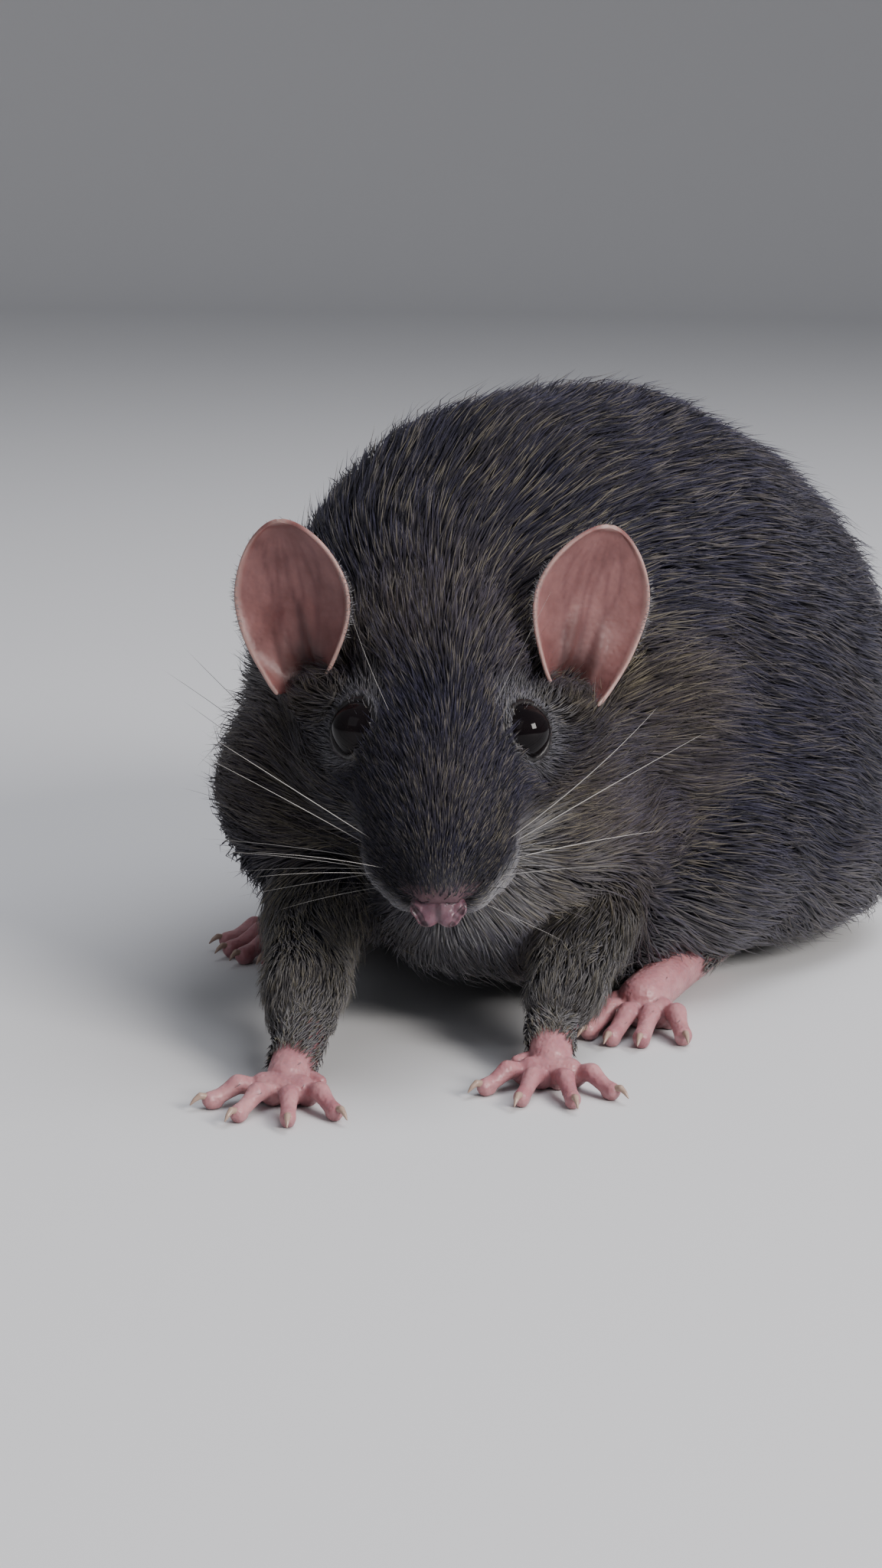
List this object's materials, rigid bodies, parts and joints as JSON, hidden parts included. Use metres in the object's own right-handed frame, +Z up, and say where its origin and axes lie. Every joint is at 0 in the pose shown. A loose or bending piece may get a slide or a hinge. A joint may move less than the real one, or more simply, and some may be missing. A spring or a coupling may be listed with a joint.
{
  "type": "pet rat model",
  "caption": "Life-size still model of a crouching dark pet rat with its head turned to its left and its tail laid on the floor.",
  "frame": {"origin": "the middle of the whole model's box, on the floor under it", "axes": "+Z up, the trunk lies along Y with the rump towards +Y, and the rat's left side is +X"},
  "size_m": [0.1398, 0.2942, 0.0828],
  "materials": {
    "coat": "short dark fur with fine grey-tan tips",
    "ear_skin": "thin bare skin with down",
    "eye": "wet black",
    "paw_skin": "bare pink skin",
    "tail_skin": "scaled skin with fine bristles"
  },
  "bodies": {
    "root": {"head": "coat", "neck": "coat", "torso": "coat", "ear_left": "ear_skin", "ear_right": "ear_skin", "eye_left": "eye", "eye_right": "eye", "foreleg_left": "coat", "foreleg_right": "coat", "forepaw_left": "paw_skin", "forepaw_right": "paw_skin", "thigh_left": "coat", "thigh_right": "coat", "hindfoot_left": "paw_skin", "hindfoot_right": "paw_skin", "tail_1": "tail_skin", "tail_2": "tail_skin", "tail_3": "tail_skin", "tail_4": "tail_skin"}
  },
  "joints": []
}
